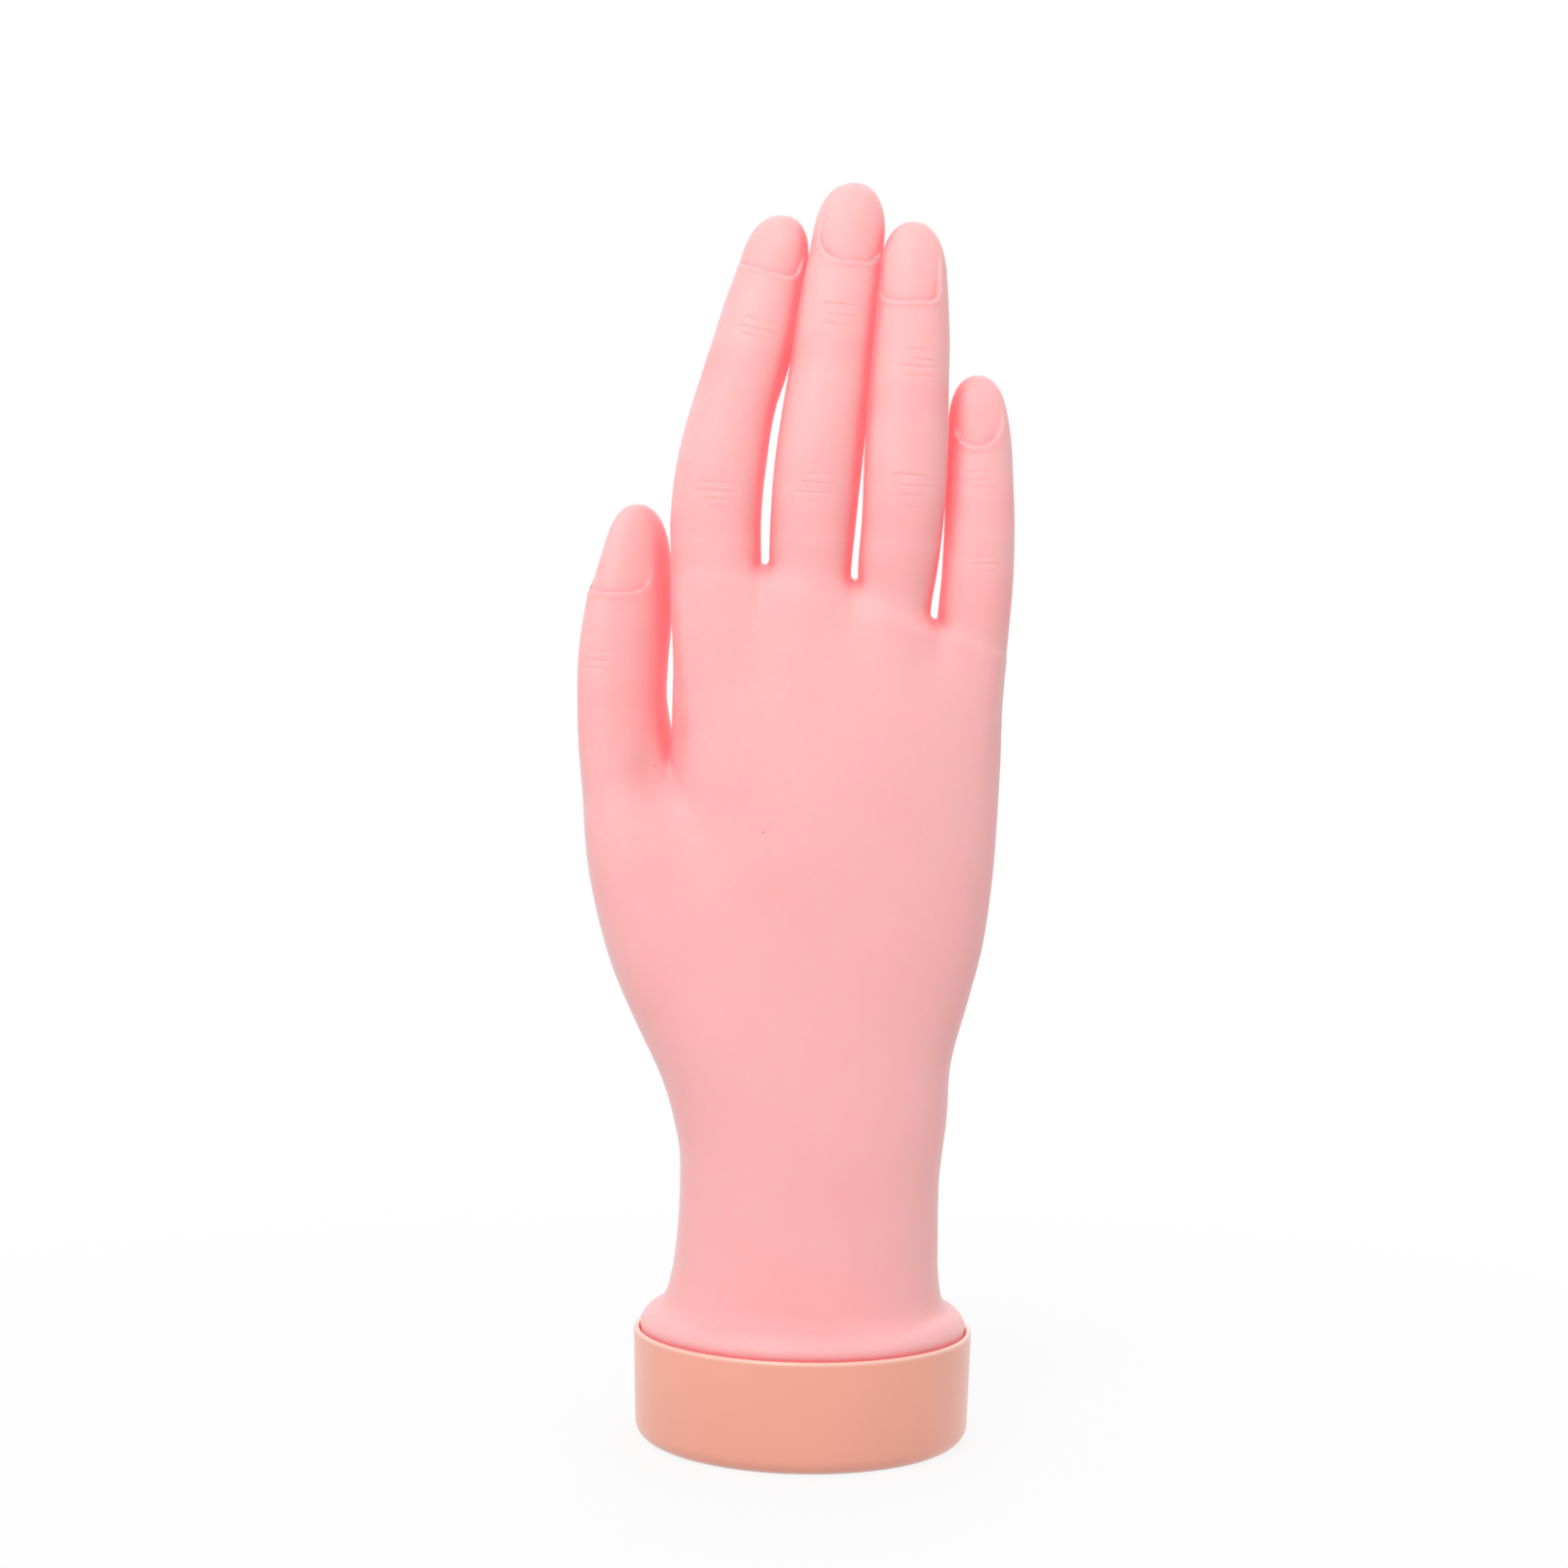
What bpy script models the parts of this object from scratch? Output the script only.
# Nail practice hand: a soft pink right hand over a jointed skeleton, standing in a round cup.
# Metres. +Z runs up the forearm, +X towards the little finger, +Y out of the palm.
# The origin is the middle of the cup's underside. The nails face -Y.
import math

import bmesh
import bpy
from mathutils import Matrix, Vector

for leftover in list(bpy.data.objects):
    bpy.data.objects.remove(leftover, do_unlink=True)

MM = 0.001
LEFT, RIGHT = -1, 1
DEPTHWAYS = Vector((0, 1, 0))
UPWARDS = Vector((0, 0, 1))

# Gaps between neighbouring pieces, and how far a cutter runs past what it cuts
GAP = 0.3 * MM
SEAM = 0.5 * MM
OVERRUN = 2.0 * MM

# Cup base, turned
CUP_HEIGHT = 18.3 * MM
CUP_RIM_RADIUS = 29.6 * MM
CUP_TAPER = 0.5 * MM
CUP_WALL = 1.3 * MM
CUP_FLOOR = 2.4 * MM
CUP_FOOT_ROUND = 2.0 * MM
CUP_LIP_ROUND = 0.4 * MM
CUP_STEPS = 48

# Screws that hold the skeleton's disc on the cup's bosses
SCREW_COUNT = 3
SCREW_EDGE = 9.0 * MM
SCREW_SHANK_RADIUS = 1.5 * MM
SCREW_HEAD_RADIUS = 2.8 * MM
SCREW_HEAD_HEIGHT = 1.6 * MM
SCREW_RECESS = 0.6 * MM
SCREW_BEVEL = 0.4 * MM
SCREW_STEPS = 12
BOSS_RADIUS = 5.0 * MM
BOSS_HEIGHT = 6.6 * MM
BOSS_STEPS = 16

# Soft flange that fills the cup, and the wrist that rises from it
FLANGE_HEIGHT = 15.4 * MM
FLANGE_STAND = 4.3 * MM
FLANGE_ROUND = 1.6 * MM
FLANGE_BULGE = 0.4 * MM
WRIST_START = 4.0 * MM
WRIST_HALF_DEPTH = 16.5 * MM
PALM_STEPS = 36

# Palm: the hinges at the fingers' roots, and the line of the webs between the fingers
KNUCKLE_HEIGHT = 155.0 * MM
PALM_DROP = 12.0 * MM
PALM_TOP_SLOPE = math.radians(12)
WEB_DROP = 3.0 * MM
WEB_SLOPE = math.radians(15)
WEB_ARCH = 5.0 * MM
WEB_ROUND = 3.0 * MM
WEB_HALF_DEPTH = 8.2 * MM
WEB_STEPS = 3
ROOT_DEPTH = 9.0 * MM
PALM_WALL_LEFT = 7.0 * MM
PALM_WALL_RIGHT = 10.5 * MM
PALM_EXPONENT = 2.3

# Each ring of the palm: how far up it lies, then its left, right, front and back reach and its
# tilt, as shares of the palm's height, its reach at the knuckles, the wrist's depth and the slope
PALM_SHARES = (
    (0.00, 0.93, 0.69, 1.12, 1.12, 0.0),
    (0.08, 0.88, 0.68, 1.02, 1.04, 0.0),
    (0.17, 0.85, 0.68, 0.96, 1.00, 0.0),
    (0.30, 0.89, 0.72, 0.86, 1.00, 0.0),
    (0.44, 0.95, 0.81, 0.76, 0.95, 0.0),
    (0.61, 0.99, 0.92, 0.70, 0.86, 0.15),
    (0.80, 0.99, 0.95, 0.65, 0.75, 0.55),
    (1.00, 1.00, 0.96, 0.58, 0.62, 1.0),
)

# Fingers: the hinge's drop below the tallest, lengths from hinge to hinge and to the tip,
# widths at the hinges and the tip, and the gaps to the neighbour at those heights
MIDDLE_ACROSS = -0.8 * MM
MIDDLE_LEANS = (math.radians(2.7), math.radians(6.7), math.radians(6.6))
FINGER_SIZES = {
    "middle": {
        "drop": 0.0 * MM,
        "lengths": (11.5 * MM, 29.7 * MM, 24.5 * MM),
        "widths": (14.6 * MM, 15.2 * MM, 13.9 * MM, 11.7 * MM),
    },
    "index": {
        "drop": 0.0 * MM,
        "lengths": (10.3 * MM, 28.7 * MM, 21.2 * MM),
        "widths": (15.7 * MM, 15.8 * MM, 13.8 * MM, 11.4 * MM),
        "gaps": (1.6 * MM, 1.6 * MM, 0.6 * MM, 0.3 * MM),
    },
    "ring": {
        "drop": 2.5 * MM,
        "lengths": (13.9 * MM, 21.6 * MM, 25.6 * MM),
        "widths": (14.3 * MM, 14.6 * MM, 13.0 * MM, 10.4 * MM),
        "gaps": (0.9 * MM, 0.6 * MM, 0.4 * MM, 0.2 * MM),
    },
    "little": {
        "drop": 10.0 * MM,
        "lengths": (8.1 * MM, 15.2 * MM, 18.8 * MM),
        "widths": (12.7 * MM, 12.8 * MM, 11.7 * MM, 10.6 * MM),
        "gaps": (0.4 * MM, 0.4 * MM, 0.4 * MM, 0.4 * MM),
    },
}
FINGER_SETBACKS = (0.0 * MM, -0.5 * MM, 0.5 * MM, 3.0 * MM)
FINGER_DEPTH_SHARES = (1.06, 0.93, 0.91, 0.90)
FINGER_DOME = 9.0 * MM
FINGER_EXPONENT = 2.2
FINGER_STEPS = 16
TIP_RING_SHARES = (0.4, 0.68, 0.87, 0.97)

# Thumb, beside the palm and the index finger
THUMB_SIZES = {
    "drop": 30.0 * MM,
    "lengths": (10.3 * MM, 28.3 * MM),
    "widths": (15.4 * MM, 15.9 * MM, 10.6 * MM),
    "gaps": (0.4 * MM, 0.5 * MM, 0.7 * MM),
}
THUMB_SETBACKS = (2.3 * MM, 2.0 * MM, 4.5 * MM)
THUMB_DEPTH_SHARES = (1.08, 1.0, 1.0)
THUMB_DOME = 11.0 * MM
THUMB_WEB_DROP = 2.2 * MM
# Ball of the thumb: height, middle, half width, front and back depth, as shares of its web's
# height, the thumb's place across, its half width and that half width again
THENAR_SHARES = (
    (0.36, 0.14, 0.78, 0.87, 1.05),
    (0.44, 0.24, 1.22, 1.30, 1.60),
    (0.54, 0.41, 1.55, 1.40, 2.03),
    (0.66, 0.62, 1.65, 1.36, 2.13),
    (0.78, 0.79, 1.50, 1.26, 1.89),
    (0.86, 0.90, 1.24, 1.11, 1.50),
)
THENAR_SHOULDER_SHARE = 0.93
THENAR_OVERLAP = 2.5 * MM
THENAR_STEPS = 20
THENAR_PARTING_INSET = 1.0 * MM
THENAR_START_SHARE = 0.5

# Nail beds: where the cuticle lies, their width and their depth below the skin
NAIL_LENGTHS = {
    "index": 10.6 * MM,
    "middle": 13.6 * MM,
    "ring": 13.4 * MM,
    "little": 12.2 * MM,
    "thumb": 16.2 * MM,
}
NAIL_WIDTH_SHARE = 0.76
NAIL_DEPTH = 0.8 * MM
NAIL_CORNER = 2.4 * MM
NAIL_CORNER_SHARE = 0.55
NAIL_STEPS = 7
NAIL_END = 0.4 * MM
NAIL_RING_SHARES = (0.5, 0.75, 0.9, 1.0)

# Bones of the skeleton, their forked joints and the pins
BONE_WIDTH = 7.0 * MM
BONE_DEPTH = 6.0 * MM
TONGUE_WIDTH = 2.4 * MM
TONGUE_REACH = 0.5 * MM
PIN_RADIUS = 1.0 * MM
PIN_STEPS = 12
BONE_END_STEPS = 8
TIP_BONE_SHARE = 0.5
JOINT_ROOM = 0.6 * MM
SLEEVE_STEP = 10.5 * MM

# Palm plate of the skeleton, its post and its disc
PLATE_THICKNESS = 5.0 * MM
POST_HALF_WIDTH = 13.0 * MM
POST_HALF_DEPTH = 8.0 * MM
POST_HEIGHT = 42.0 * MM
POST_STEPS = 24
DISC_WALL = 4.0 * MM
DISC_THICKNESS = 3.0 * MM
DISC_STEPS = 32
FORK_LENGTH = 9.0 * MM
FORK_ROOT = 6.0 * MM
PLATE_WAIST_SHARE = 0.5
ARM_START_SHARE = 0.40

# How far each joint bends towards the palm
KNUCKLE_BEND = math.radians(25)
MIDDLE_BEND = math.radians(60)
END_BEND = math.radians(40)
THUMB_END_BEND = math.radians(50)

# Skin, skeleton and cup colours as the eye sees them, 0 to 255
SKIN_COLOUR = (255, 190, 190)
CUP_COLOUR = (240, 170, 150)
BONE_COLOUR = (232, 228, 220)
STEEL_COLOUR = (176, 178, 182)


def linear(colour):
    shares = [channel / 255 for channel in colour]
    return [s / 12.92 if s <= 0.04045 else ((s + 0.055) / 1.055) ** 2.4 for s in shares] + [1.0]


def finish(name, colour, roughness, metallic=0.0):
    material = bpy.data.materials.new(name)
    material.use_nodes = True
    shader = material.node_tree.nodes["Principled BSDF"]
    shader.inputs["Base Color"].default_value = linear(colour)
    shader.inputs["Roughness"].default_value = roughness
    shader.inputs["Metallic"].default_value = metallic
    material.diffuse_color = linear(colour)
    return material


SKIN = finish("soft_pvc", SKIN_COLOUR, 0.55)
CUP_PLASTIC = finish("cup_plastic", CUP_COLOUR, 0.3)
BONE_PLASTIC = finish("bone_plastic", BONE_COLOUR, 0.45)
STEEL = finish("pin_steel", STEEL_COLOUR, 0.3, 1.0)


# Solids are lofts: rings of points joined in turn. A ring of one point closes an end, and so does
# a ring pressed flat to a ridge, whose front and back points are one
def add_row(mesh, ring):
    corners = {}
    row = []
    for point in ring:
        place = tuple(round(value / OVERRUN, 6) for value in point)
        if place not in corners:
            corners[place] = mesh.verts.new(point)
        row.append(corners[place])
    return row


def add_loft(mesh, rings, looped=False):
    rows = [add_row(mesh, ring) for ring in rings]
    pairs = list(zip(rows, rows[1:]))
    if looped:
        pairs.append((rows[-1], rows[0]))
    for lower, upper in pairs:
        count = max(len(lower), len(upper))
        for i in range(count):
            j = (i + 1) % count
            corners = [lower[i % len(lower)], lower[j % len(lower)]]
            corners += [upper[j % len(upper)], upper[i % len(upper)]]
            mesh.faces.new(list(dict.fromkeys(corners)))
    if not looped:
        for row in (rows[0], rows[-1]):
            if len(row) > 1 and len(set(row)) == len(row):
                mesh.faces.new(row)


def solid(name, lofts, material=None, looped=False):
    mesh = bmesh.new()
    for rings in lofts:
        add_loft(mesh, rings, looped)
    bmesh.ops.recalc_face_normals(mesh, faces=mesh.faces)
    data = bpy.data.meshes.new(name)
    mesh.to_mesh(data)
    mesh.free()
    data.shade_smooth()
    data.set_sharp_from_angle(angle=math.radians(40))
    made = bpy.data.objects.new(name, data)
    bpy.context.scene.collection.objects.link(made)
    if material is None:
        made.hide_render = True
        made.display_type = "WIRE"
    else:
        data.materials.append(material)
    return made


def boolean(target, other, operation):
    modifier = target.modifiers.new(other.name, "BOOLEAN")
    modifier.operation = operation
    modifier.solver = "EXACT"
    modifier.object = other


def welded(name, parts, material=None):
    made = solid(name, parts[0], material)
    for number, lofts in enumerate(parts[1:], 1):
        boolean(made, solid(f"{name}_add_{number}", lofts), "UNION")
    return made


def hang(made, joint):
    made.data.transform(Matrix.Translation(-joint["point"]))
    made.parent = joint["empty"]


def pivot(name, point, parent=None):
    empty = bpy.data.objects.new(name, None)
    bpy.context.scene.collection.objects.link(empty)
    if parent is None:
        empty.location = point
    else:
        empty.parent = parent["empty"]
        empty.location = point - parent["point"]
    return empty


# Rings
def lean_axes(lean):
    across = Vector((math.cos(lean), 0, -math.sin(lean)))
    along = Vector((math.sin(lean), 0, math.cos(lean)))
    return across, along


def oval_ring(centre, half_width, front, back, lean=0.0, exponent=2.0, count=FINGER_STEPS, arch=0.0):
    across, along = lean_axes(lean)
    ring = []
    for i in range(count):
        angle = math.tau * i / count
        side = math.copysign(abs(math.cos(angle)) ** (2 / exponent), math.cos(angle))
        deep = math.copysign(abs(math.sin(angle)) ** (2 / exponent), math.sin(angle))
        reach = back if deep > 0 else front
        point = centre + across * half_width * side + DEPTHWAYS * reach * deep
        ring.append(point + along * arch * (1 - side * side))
    return ring


def square_ring(centre, half_width, half_depth, lean):
    across, _ = lean_axes(lean)
    ring = []
    for i in range(FINGER_STEPS):
        angle = math.tau * i / FINGER_STEPS
        side, deep = math.cos(angle), math.sin(angle)
        scale = 1 / max(abs(side), abs(deep))
        ring.append(centre + across * half_width * side * scale + DEPTHWAYS * half_depth * deep * scale)
    return ring


def turned(centre, profile, count):
    rings = []
    for radius, height in profile:
        middle = centre + UPWARDS * height
        if radius == 0:
            rings.append([middle])
        else:
            rings.append(oval_ring(middle, radius, radius, radius, count=count))
    return rings


def rod(middle, axis, half_length, radius, count):
    side = axis.cross(DEPTHWAYS).normalized()
    rings = []
    for end in (-half_length, half_length):
        turns = [math.tau * i / count for i in range(count)]
        spokes = [DEPTHWAYS * math.cos(t) + side * math.sin(t) for t in turns]
        rings.append([middle + axis * end + spoke * radius for spoke in spokes])
    return rings


def block(middle, sideways, along, half_width, low, high, half_depth):
    deep = along.cross(sideways).normalized()
    rings = []
    for reach in (low, high):
        corners = [(-half_width, -half_depth), (half_width, -half_depth)]
        corners += [(half_width, half_depth), (-half_width, half_depth)]
        rings.append([middle + along * reach + sideways * w + deep * d for w, d in corners])
    return rings


# A bar with round ends seen from the side, from one joint to the next
def bar(start, end, sideways, half_width, radius):
    along = (end - start).normalized()
    deep = along.cross(sideways).normalized()
    outline = []
    for centre, way in ((start, -1), (end, 1)):
        for i in range(BONE_END_STEPS + 1):
            angle = math.pi * i / BONE_END_STEPS
            spoke = along * math.sin(angle) - deep * math.cos(angle)
            outline.append(centre + spoke * way * radius)
    return [[point + sideways * reach for point in outline] for reach in (-half_width, half_width)]


# Value at a height, on a smooth curve through (height, value) stations
def smooth(stations, height):
    if height <= stations[0][0]:
        return stations[0][1]
    if height >= stations[-1][0]:
        return stations[-1][1]
    slopes = []
    for i in range(len(stations)):
        before, after = stations[max(i - 1, 0)], stations[min(i + 1, len(stations) - 1)]
        slopes.append((after[1] - before[1]) / (after[0] - before[0]))
    i = max(k for k in range(len(stations) - 1) if stations[k][0] <= height)
    (low, first), (high, second) = stations[i], stations[i + 1]
    run = high - low
    t = (height - low) / run
    bend = (2 * t**3 - 3 * t**2 + 1) * first + (t**3 - 2 * t**2 + t) * run * slopes[i]
    return bend + (3 * t**2 - 2 * t**3) * second + (t**3 - t**2) * run * slopes[i + 1]


# Digits: the line of each finger, found from its own sizes and its neighbour's edge
def digit(name, heights, places, widths, depth_shares, setbacks, dome):
    return {
        "name": name,
        "heights": heights,
        "across": list(zip(heights, places)),
        "half": [(h, w / 2) for h, w in zip(heights, widths)],
        "depth": [(h, s * w / 2) for h, s, w in zip(heights, depth_shares, widths)],
        "back": list(zip(heights, setbacks)),
        "dome": dome,
    }


def edge(made, height, side):
    return smooth(made["across"], height) + side * smooth(made["half"], height)


def heights_of(base, lengths):
    heights = [base]
    for length in lengths:
        heights.append(heights[-1] + length)
    return heights


def finger(name, neighbour=None, side=0):
    sizes = FINGER_SIZES[name]
    heights = heights_of(KNUCKLE_HEIGHT - sizes["drop"], sizes["lengths"])
    if neighbour is None:
        places = [MIDDLE_ACROSS]
        for length, lean in zip(sizes["lengths"], MIDDLE_LEANS):
            places.append(places[-1] + length * math.tan(lean))
    else:
        places = []
        for height, gap, width in zip(heights, sizes["gaps"], sizes["widths"]):
            places.append(edge(neighbour, height, side) + side * (gap + width / 2))
    return digit(name, heights, places, sizes["widths"], FINGER_DEPTH_SHARES, FINGER_SETBACKS, FINGER_DOME)


def thumb_beside(index):
    heights = heights_of(KNUCKLE_HEIGHT - THUMB_SIZES["drop"], THUMB_SIZES["lengths"])
    places = []
    for height, gap, width in zip(heights, THUMB_SIZES["gaps"], THUMB_SIZES["widths"]):
        places.append(edge(index, height, LEFT) - gap - width / 2)
    widths = THUMB_SIZES["widths"]
    return digit("thumb", heights, places, widths, THUMB_DEPTH_SHARES, THUMB_SETBACKS, THUMB_DOME)


def centre_at(made, height):
    return Vector((smooth(made["across"], height), smooth(made["back"], height), height))


def lean_at(made, height):
    low, high = centre_at(made, height - GAP), centre_at(made, height + GAP)
    return math.atan2(high.x - low.x, high.z - low.z)


# The digit narrows to its tip as half an ellipse does
def dome_share(made, height):
    start = made["heights"][-1] - made["dome"]
    return math.sqrt(max(1 - (max(height - start, 0) / made["dome"]) ** 2, 0))


def skin_ring(made, height):
    share = dome_share(made, height)
    depth = smooth(made["depth"], height) * share
    half = smooth(made["half"], height) * share
    return oval_ring(centre_at(made, height), half, depth, depth, lean_at(made, height), FINGER_EXPONENT)


# Joints: each has its point, the way its pin runs, the bend towards the palm and its empty
def joints_of(made, bends, names):
    joints = []
    points = [centre_at(made, height) for height in made["heights"]]
    parent = None
    for number, bend in enumerate(bends):
        along = (points[number + 1] - points[number]).normalized()
        lean = math.atan2(along.x, along.z)
        across, _ = lean_axes(lean)
        joint = {"name": f"{made['name']}_{names[number]}", "point": points[number], "across": across}
        kink = abs(lean - parent["lean"]) if parent else 0.0
        joint.update(along=along, lean=lean, kink=kink, bend=bend, height=made["heights"][number])
        joint["empty"] = pivot(joint["name"], points[number], parent)
        joints.append(joint)
        parent = joint
    return joints


# Half the room that a bent joint needs between the stiff skins either side of it
def joint_room(made, joint):
    depth = smooth(made["depth"], joint["height"])
    return depth * math.tan(joint["bend"] / 2) + SEAM


def bone_point(joint, height):
    return joint["point"] + joint["along"] * ((height - joint["height"]) / joint["along"].z)


def bore_ring(made, joint, height, room=0.0):
    centre = bone_point(joint, height)
    return square_ring(centre, BONE_WIDTH / 2 + GAP + room, BONE_DEPTH / 2 + GAP + room, lean_at(made, height))


def bone(name, joint, following, end):
    half_width, radius = BONE_WIDTH / 2, BONE_DEPTH / 2
    made = solid(name, [bar(joint["point"], end, joint["across"], half_width, radius)], BONE_PLASTIC)
    cheek = (half_width - TONGUE_WIDTH / 2) / 2 + OVERRUN
    far = radius + OVERRUN
    reach = radius + TONGUE_REACH + half_width * math.tan(joint["kink"])
    cuts = []
    for side in (LEFT, RIGHT):
        centre = joint["point"] + joint["across"] * side * (TONGUE_WIDTH / 2 + cheek)
        cuts.append(block(centre, joint["across"], joint["along"], cheek, -far, reach, far))
    pins = [rod(joint["point"], joint["across"], half_width + OVERRUN, PIN_RADIUS + GAP, PIN_STEPS)]
    if following:
        cuts.append(fork_slot(following))
        pins.append(rod(end, following["across"], half_width + OVERRUN, PIN_RADIUS + GAP, PIN_STEPS))
    boolean(made, solid(f"{name}_cheeks", cuts), "DIFFERENCE")
    boolean(made, solid(f"{name}_holes", pins), "DIFFERENCE")
    hang(made, joint)
    return made


def fork_slot(joint):
    radius = BONE_DEPTH / 2
    half_width = TONGUE_WIDTH / 2 + GAP
    far = radius + OVERRUN
    return block(joint["point"], joint["across"], joint["along"], half_width, -radius - GAP, far, far)


def pin(joint, carrier):
    shape = rod(joint["point"], joint["across"], BONE_WIDTH / 2, PIN_RADIUS, PIN_STEPS)
    made = solid(f"{joint['name']}_pin", [shape], STEEL)
    if carrier:
        hang(made, carrier)


def sleeve(name, made, joint, low, high, room=0.0, joint_above=None):
    steps = max(2, round((high - low) / SLEEVE_STEP))
    heights = [low + (high - low) * i / steps for i in range(steps + 1)]
    outer = [skin_ring(made, height) for height in heights]
    inner = [bore_ring(made, joint, low, room), bore_ring(made, joint_above or joint, high, room)]
    if joint_above:
        inner.insert(1, bore_ring(made, joint_above, joint_above["height"], room))
    return solid(name, [outer + inner[::-1]], SKIN, looped=True)


def tip_skin(name, made, joint, low, bone_end):
    tip = made["heights"][-1]
    start = tip - made["dome"]
    heights = [low, (low + start) / 2, start]
    heights += [start + made["dome"] * share for share in TIP_RING_SHARES]
    outer = [skin_ring(made, height) for height in heights] + [[centre_at(made, tip)]]
    inner = [bore_ring(made, joint, bone_end + GAP), bore_ring(made, joint, low)]
    result = solid(name, [inner + outer], SKIN)
    boolean(result, nail_cutter(made), "DIFFERENCE")
    hang(result, joint)


# The nail bed is sunk evenly below the back of the fingertip and runs out over its end
def nail_cutter(made):
    tip = made["heights"][-1]
    cuticle = tip - NAIL_LENGTHS[made["name"]]
    heights = [cuticle, cuticle + NAIL_CORNER / 2, cuticle + NAIL_CORNER]
    heights += [cuticle + (tip - NAIL_END - cuticle) * share for share in NAIL_RING_SHARES]
    widths = [NAIL_CORNER_SHARE, (1 + NAIL_CORNER_SHARE) / 2, 1.0] + [1.0] * len(NAIL_RING_SHARES)
    rings = []
    for height, width in zip(heights, widths):
        share = dome_share(made, height)
        half = smooth(made["half"], height) * share
        depth = smooth(made["depth"], height) * share
        sunk = NAIL_DEPTH * share
        centre = centre_at(made, height)
        across, _ = lean_axes(lean_at(made, height))
        ring = []
        for i in range(NAIL_STEPS):
            side = (2 * i / (NAIL_STEPS - 1) - 1) * NAIL_WIDTH_SHARE * width
            rise = (1 - abs(side) ** FINGER_EXPONENT) ** (1 / FINGER_EXPONENT)
            ring.append(centre + across * side * half - DEPTHWAYS * (depth * rise - sunk))
        far = DEPTHWAYS * (depth + OVERRUN)
        reach = across * NAIL_WIDTH_SHARE * width * half
        ring += [centre + reach - far, centre - reach - far]
        rings.append(ring)
    return solid(f"{made['name']}_nail_bed", [rings])


# Fingers, each beside the one before
middle = finger("middle")
index = finger("index", middle, LEFT)
ring = finger("ring", middle, RIGHT)
little = finger("little", ring, RIGHT)
thumb = thumb_beside(index)
FINGERS = [index, middle, ring, little]
PALM_LEFT = edge(index, index["heights"][0], LEFT)
PALM_RIGHT = edge(little, little["heights"][0], RIGHT)
THUMB_WEB_HEIGHT = thumb["heights"][0] - THUMB_WEB_DROP

FLANGE_RADIUS = CUP_RIM_RADIUS - CUP_WALL - GAP
FLANGE_BOTTOM = CUP_FLOOR + FLANGE_STAND
FLANGE_TOP = FLANGE_BOTTOM + FLANGE_HEIGHT
BOSS_TOP = CUP_FLOOR + BOSS_HEIGHT
DISC_RADIUS = FLANGE_RADIUS - DISC_WALL
SCREW_CIRCLE_RADIUS = DISC_RADIUS - SCREW_EDGE
DISC_BOTTOM = BOSS_TOP + GAP
DISC_TOP = DISC_BOTTOM + DISC_THICKNESS
PALM_FOOT = FLANGE_TOP + WRIST_START
PALM_MIDDLE = (PALM_LEFT + PALM_RIGHT) / 2


# Height of a sloping line over the palm, given its height at the index finger's middle
def sloping(height, slope, across):
    return height - (across - index["across"][0][1]) * math.tan(slope)


PALM_TOP = sloping(KNUCKLE_HEIGHT - PALM_DROP, PALM_TOP_SLOPE, PALM_MIDDLE)


def palm_ring(height, left, right, front, back, slope, arch=0.0):
    centre = Vector(((left + right) / 2, 0, height))
    half = (right - left) / 2 / math.cos(slope)
    return oval_ring(centre, half, front, back, slope, PALM_EXPONENT, PALM_STEPS, arch)


def palm_rings():
    rings = []
    for up, left, right, front, back, tilt in PALM_SHARES:
        height = PALM_FOOT + (PALM_TOP - PALM_FOOT) * up
        depths = (WRIST_HALF_DEPTH * front, WRIST_HALF_DEPTH * back)
        rings.append(palm_ring(height, PALM_LEFT * left, PALM_RIGHT * right, *depths, PALM_TOP_SLOPE * tilt))
    return rings


# The palm closes in a rounded ridge along the line of the webs
def web_rings():
    line = sloping(KNUCKLE_HEIGHT - WEB_DROP, WEB_SLOPE, PALM_MIDDLE)
    rings = []
    for step in range(WEB_STEPS + 1):
        turn = math.pi / 2 * step / WEB_STEPS
        height = line - WEB_ROUND * (1 - math.sin(turn))
        depth = 0.0 if step == WEB_STEPS else WEB_HALF_DEPTH * math.cos(turn)
        rings.append(palm_ring(height, PALM_LEFT + SEAM, PALM_RIGHT - SEAM, depth, depth, WEB_SLOPE, WEB_ARCH))
    return rings


def flange_rings():
    shoulder = FLANGE_ROUND * (1 - math.sqrt(0.5))
    out = FLANGE_RADIUS + FLANGE_BULGE
    profile = [(FLANGE_RADIUS, FLANGE_BOTTOM), (FLANGE_RADIUS, CUP_HEIGHT + GAP)]
    profile += [(out, CUP_HEIGHT + GAP + FLANGE_BULGE), (out, FLANGE_TOP - FLANGE_ROUND)]
    profile += [(out - shoulder, FLANGE_TOP - shoulder), (out - FLANGE_ROUND, FLANGE_TOP)]
    return turned(Vector(), profile, PALM_STEPS)


# Ball of the thumb, up to the web between the thumb and the palm
def thenar_rings():
    half = thumb["half"][0][1]
    place = thumb["across"][0][1]
    back = thumb["back"][0][1]
    rings = []
    for up, across, width, front, rear in THENAR_SHARES:
        centre = Vector((place * across, back, THUMB_WEB_HEIGHT * up))
        depths = (half * front, half * rear)
        rings.append(oval_ring(centre, half * width, *depths, exponent=PALM_EXPONENT, count=THENAR_STEPS))
    for share in (THENAR_SHOULDER_SHARE, 1.0):
        height = THUMB_WEB_HEIGHT * share
        left = edge(thumb, height, LEFT) + SEAM
        right = edge(thumb, height, RIGHT) + THENAR_OVERLAP
        depth = smooth(thumb["depth"], height) - SEAM
        centre = Vector(((left + right) / 2, back, height))
        rings.append(oval_ring(centre, (right - left) / 2, depth, depth, 0.0, FINGER_EXPONENT, THENAR_STEPS))
    return rings


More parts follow.
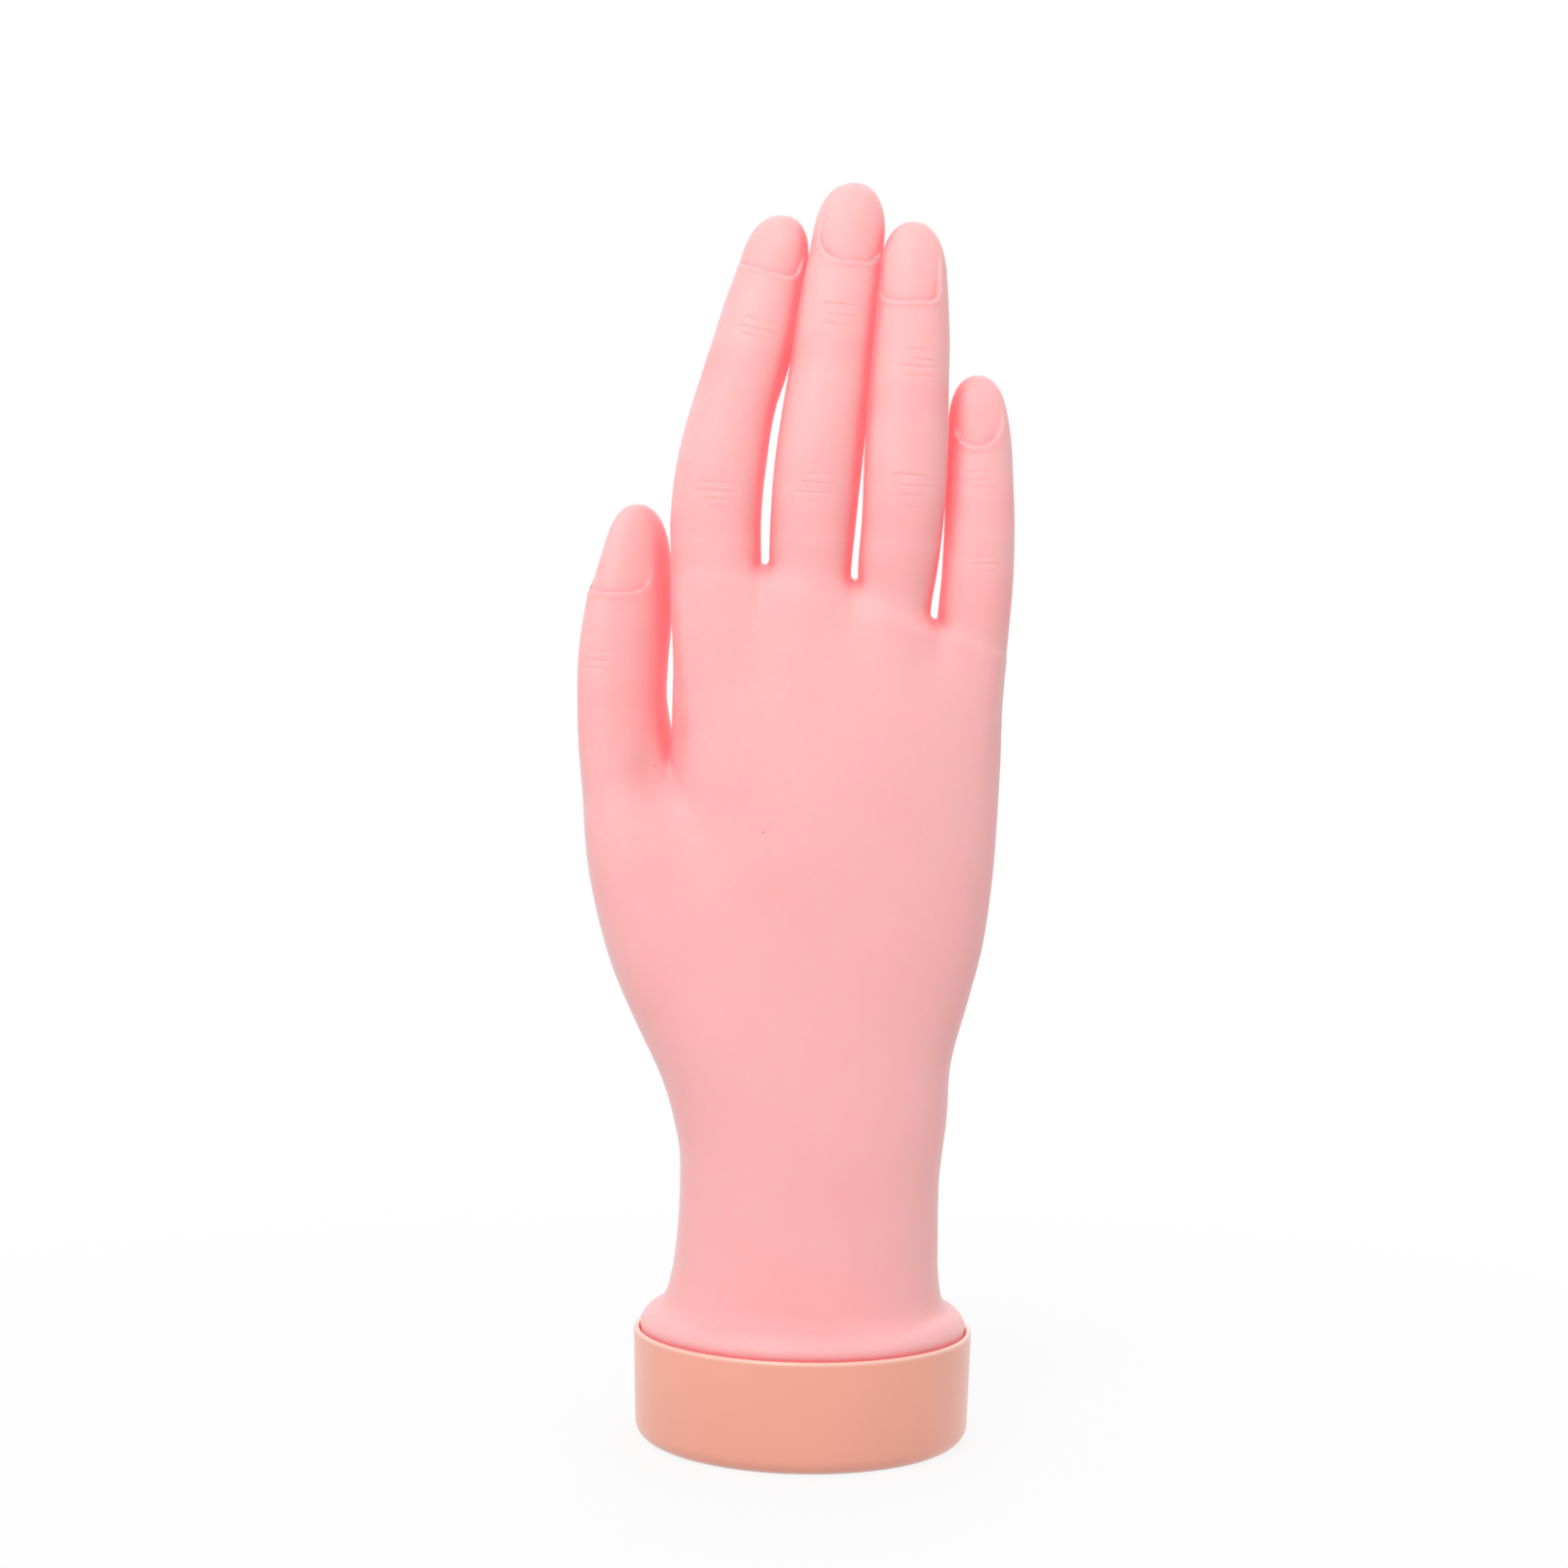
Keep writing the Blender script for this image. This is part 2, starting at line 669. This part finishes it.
# Palm frame of the skeleton, and the same shapes grown for the room it takes in the skin
def frame_parts(grow, finger_joints, thumb_joint):
    half_width, radius = BONE_WIDTH / 2 + grow, BONE_DEPTH / 2 + grow
    post = []
    for height in (DISC_BOTTOM + DISC_THICKNESS / 2, PALM_FOOT, PALM_FOOT + POST_HEIGHT):
        centre = Vector((0, 0, height))
        half_depth = POST_HALF_DEPTH + grow
        post.append(oval_ring(centre, POST_HALF_WIDTH + grow, half_depth, half_depth, count=POST_STEPS))
    rim = (DISC_RADIUS + grow, DISC_BOTTOM if grow == 0 else FLANGE_BOTTOM - OVERRUN)
    disc = turned(Vector(), [rim, (DISC_RADIUS + grow, DISC_TOP + grow)], DISC_STEPS)
    first, last = finger_joints[0], finger_joints[-1]
    waist = PALM_FOOT + (PALM_TOP - PALM_FOOT) * PLATE_WAIST_SHARE
    foot = PALM_FOOT + POST_HEIGHT - FORK_ROOT
    top_left = first["point"] - first["along"] * FORK_LENGTH - first["across"] * BONE_WIDTH / 2
    top_right = last["point"] - last["along"] * FORK_LENGTH + last["across"] * BONE_WIDTH / 2
    outline = [
        Vector((-POST_HALF_WIDTH - grow, 0, foot - grow)),
        Vector((POST_HALF_WIDTH + grow, 0, foot - grow)),
        Vector((PALM_RIGHT - PALM_WALL_RIGHT + grow, 0, waist)),
        top_right + Vector((grow, 0, grow)),
        top_left + Vector((-grow, 0, grow)),
        Vector((PALM_LEFT + PALM_WALL_LEFT - grow, 0, waist)),
    ]
    half_plate = PLATE_THICKNESS / 2 + grow
    plate = [[p + DEPTHWAYS * side * half_plate for p in outline] for side in (LEFT, RIGHT)]
    bars = []
    for joint in finger_joints:
        start = joint["point"] - joint["along"] * (FORK_LENGTH + FORK_ROOT)
        bars.append(bar(start, joint["point"], joint["across"], half_width, radius))
    elbow = thumb_joint["point"] - thumb_joint["along"] * FORK_LENGTH
    shoulder_height = PALM_FOOT + (PALM_TOP - PALM_FOOT) * ARM_START_SHARE
    shoulder = Vector((PALM_LEFT * ARM_START_SHARE, 0, shoulder_height))
    run = (elbow - shoulder).normalized()
    sideways = DEPTHWAYS.cross(run).normalized()
    arm = bar(shoulder, elbow, sideways, half_width, radius)
    thumb_fork = bar(elbow, thumb_joint["point"], thumb_joint["across"], half_width, radius)
    return [[post], [disc], [plate], bars, [arm], [thumb_fork]]


def screw_places():
    turns = [math.tau * (i + 0.5) / SCREW_COUNT for i in range(SCREW_COUNT)]
    return [Vector((math.cos(t), math.sin(t), 0)) * SCREW_CIRCLE_RADIUS for t in turns]


def build_cup():
    foot = CUP_RIM_RADIUS - CUP_TAPER
    inner = CUP_RIM_RADIUS - CUP_WALL
    profile = [(0, 0), (foot - CUP_FOOT_ROUND, 0)]
    for i in range(1, 4):
        angle = math.pi / 2 * i / 3
        out = foot - CUP_FOOT_ROUND * (1 - math.sin(angle))
        profile.append((out, CUP_FOOT_ROUND * (1 - math.cos(angle))))
    profile += [(CUP_RIM_RADIUS, CUP_HEIGHT - CUP_LIP_ROUND), (CUP_RIM_RADIUS - CUP_LIP_ROUND, CUP_HEIGHT)]
    profile += [(inner, CUP_HEIGHT), (inner, CUP_FLOOR + CUP_LIP_ROUND), (inner - CUP_LIP_ROUND, CUP_FLOOR)]
    profile.append((0, CUP_FLOOR))
    cup = solid("base_cup", [turned(Vector(), profile, CUP_STEPS)], CUP_PLASTIC)
    places = screw_places()
    post = [(BOSS_RADIUS, CUP_FLOOR / 2), (BOSS_RADIUS, BOSS_TOP)]
    boolean(cup, solid("cup_bosses", [turned(p, post, BOSS_STEPS) for p in places]), "UNION")
    seat = SCREW_RECESS + SCREW_HEAD_HEIGHT + GAP
    hole = [(SCREW_HEAD_RADIUS + GAP, -OVERRUN), (SCREW_HEAD_RADIUS + GAP, seat)]
    hole += [(SCREW_SHANK_RADIUS + GAP, seat), (SCREW_SHANK_RADIUS + GAP, BOSS_TOP + OVERRUN)]
    boolean(cup, solid("cup_screw_holes", [turned(p, hole, BOSS_STEPS) for p in places]), "DIFFERENCE")


def build_screws():
    under_head = SCREW_RECESS + SCREW_HEAD_HEIGHT
    end = DISC_TOP - SCREW_BEVEL
    profile = [(0, SCREW_RECESS), (SCREW_HEAD_RADIUS - SCREW_BEVEL, SCREW_RECESS)]
    profile += [(SCREW_HEAD_RADIUS, SCREW_RECESS + SCREW_BEVEL), (SCREW_HEAD_RADIUS, under_head)]
    profile += [(SCREW_SHANK_RADIUS, under_head), (SCREW_SHANK_RADIUS, end - SCREW_BEVEL)]
    profile += [(SCREW_SHANK_RADIUS - SCREW_BEVEL, end), (0, end)]
    for number, place in enumerate(screw_places(), 1):
        solid(f"base_screw_{number}", [turned(place, profile, SCREW_STEPS)], STEEL)


def build_frame(finger_joints, thumb_joint):
    frame = welded("palm_frame", frame_parts(0, finger_joints, thumb_joint), BONE_PLASTIC)
    joints = finger_joints + [thumb_joint]
    reach = BONE_WIDTH / 2 + OVERRUN
    boolean(frame, solid("frame_slots", [fork_slot(joint) for joint in joints]), "DIFFERENCE")
    pins = [rod(joint["point"], joint["across"], reach, PIN_RADIUS + GAP, PIN_STEPS) for joint in joints]
    boolean(frame, solid("frame_pin_holes", pins), "DIFFERENCE")
    radius = SCREW_SHANK_RADIUS + GAP
    profile = [(radius, DISC_BOTTOM - OVERRUN), (radius, DISC_TOP + OVERRUN)]
    holes = [turned(place, profile, SCREW_STEPS) for place in screw_places()]
    boolean(frame, solid("frame_screw_holes", holes), "DIFFERENCE")


def web_height(across):
    side = (across - PALM_MIDDLE) / ((PALM_RIGHT - PALM_LEFT) / 2)
    arch = WEB_ARCH * (1 - min(side * side, 1))
    return sloping(KNUCKLE_HEIGHT - WEB_DROP, WEB_SLOPE, across) + arch


# Where a digit's own skin begins, just above the webs beside it
def skin_start(made):
    if made is thumb:
        return THUMB_WEB_HEIGHT + SEAM
    height = made["heights"][0]
    return max(web_height(edge(made, height, side)) for side in (LEFT, RIGHT)) + SEAM


# Palm, wrist, flange, ball of the thumb and the digits' roots, hollow where the frame goes
def palm_flesh(name, finger_joints, thumb_joint):
    flesh = solid(name, [flange_rings() + palm_rings() + web_rings()], SKIN)
    boolean(flesh, solid(f"{name}_ball", [thenar_rings()]), "UNION")
    for made in FINGERS + [thumb]:
        end = skin_start(made) - GAP
        root = [skin_ring(made, height) for height in (end - ROOT_DEPTH, end - ROOT_DEPTH / 2, end)]
        boolean(flesh, solid(f"{name}_{made['name']}_root", [root]), "UNION")
    space = welded(f"{name}_frame_space", frame_parts(GAP, finger_joints, thumb_joint))
    boolean(flesh, space, "DIFFERENCE")
    return flesh


# Space beside the palm's edge that holds the ball of the thumb
def thenar_block(name, room):
    low = Vector((0, 0, THUMB_WEB_HEIGHT * THENAR_START_SHARE))
    high = Vector((0, 0, skin_start(thumb) - room))
    right = PALM_LEFT + THENAR_PARTING_INSET - room
    middle = Vector(((right + PALM_LEFT * 2) / 2, 0, 0))
    reach = right - middle.x
    return solid(name, [[square_ring(middle + end, reach, abs(PALM_LEFT), 0.0) for end in (low, high)]])


def build_palm_skin(finger_joints, thumb_joint):
    palm = palm_flesh("palm_skin", finger_joints, thumb_joint)
    boolean(palm, thenar_block("ball_parting", 0), "DIFFERENCE")
    ball = palm_flesh("thumb_root_skin", finger_joints, thumb_joint)
    boolean(ball, thenar_block("ball_limits", GAP), "INTERSECT")


# Skin, bones and pins of one finger or of the thumb above its knuckle
def build_digit(made, joints, carriers, bone_names):
    top = made["heights"][-1]
    for number, joint in enumerate(joints):
        following = joints[number + 1] if number + 1 < len(joints) else None
        label = f"{made['name']}_{bone_names[number]}"
        pin(joint, carriers[number])
        if number == 0:
            low, room = skin_start(made), JOINT_ROOM
        else:
            reach = joint_room(made, joint)
            low, room = joint["height"] + reach, 0.0
            before = joints[number - 1]
            cuff_low, cuff_high = joint["height"] - reach + GAP, low - GAP
            name = f"{joint['name']}_skin"
            hang(sleeve(name, made, before, cuff_low, cuff_high, JOINT_ROOM, joint), before)
        if following:
            bone(f"{label}_bone", joint, following, following["point"])
            high = following["height"] - joint_room(made, following)
            hang(sleeve(f"{label}_skin", made, joint, low, high, room), joint)
        else:
            length = (top - joint["height"]) * TIP_BONE_SHARE - BONE_DEPTH / 2
            end = bone_point(joint, joint["height"] + length)
            bone(f"{label}_bone", joint, None, end)
            tip_skin(f"{label}_skin", made, joint, low, joint["height"] + length + BONE_DEPTH / 2)


FINGER_BENDS = (KNUCKLE_BEND, MIDDLE_BEND, END_BEND)
JOINT_NAMES = ("knuckle", "middle_joint", "end_joint")
FINGER_BONES = ("proximal", "middle", "tip")
finger_chains = [joints_of(made, FINGER_BENDS, JOINT_NAMES) for made in FINGERS]
thumb_chain = joints_of(thumb, (KNUCKLE_BEND, THUMB_END_BEND), ("knuckle", "end_joint"))
knuckles = [chain[0] for chain in finger_chains]

build_cup()
build_screws()
build_frame(knuckles, thumb_chain[0])
build_palm_skin(knuckles, thumb_chain[0])
for made, chain in zip(FINGERS, finger_chains):
    build_digit(made, chain, [None] + chain[:-1], FINGER_BONES)
build_digit(thumb, thumb_chain, [None] + thumb_chain[:-1], ("proximal", "tip"))

for chain in finger_chains + [thumb_chain]:
    for joint in chain:
        x, y, z = joint["point"]
        axis = -joint["across"]
        place = f"at {x:.6f} {y:.6f} {z:.6f}"
        print(joint["name"], place, f"axis {axis.x:.6f} {axis.y:.6f} {axis.z:.6f}")
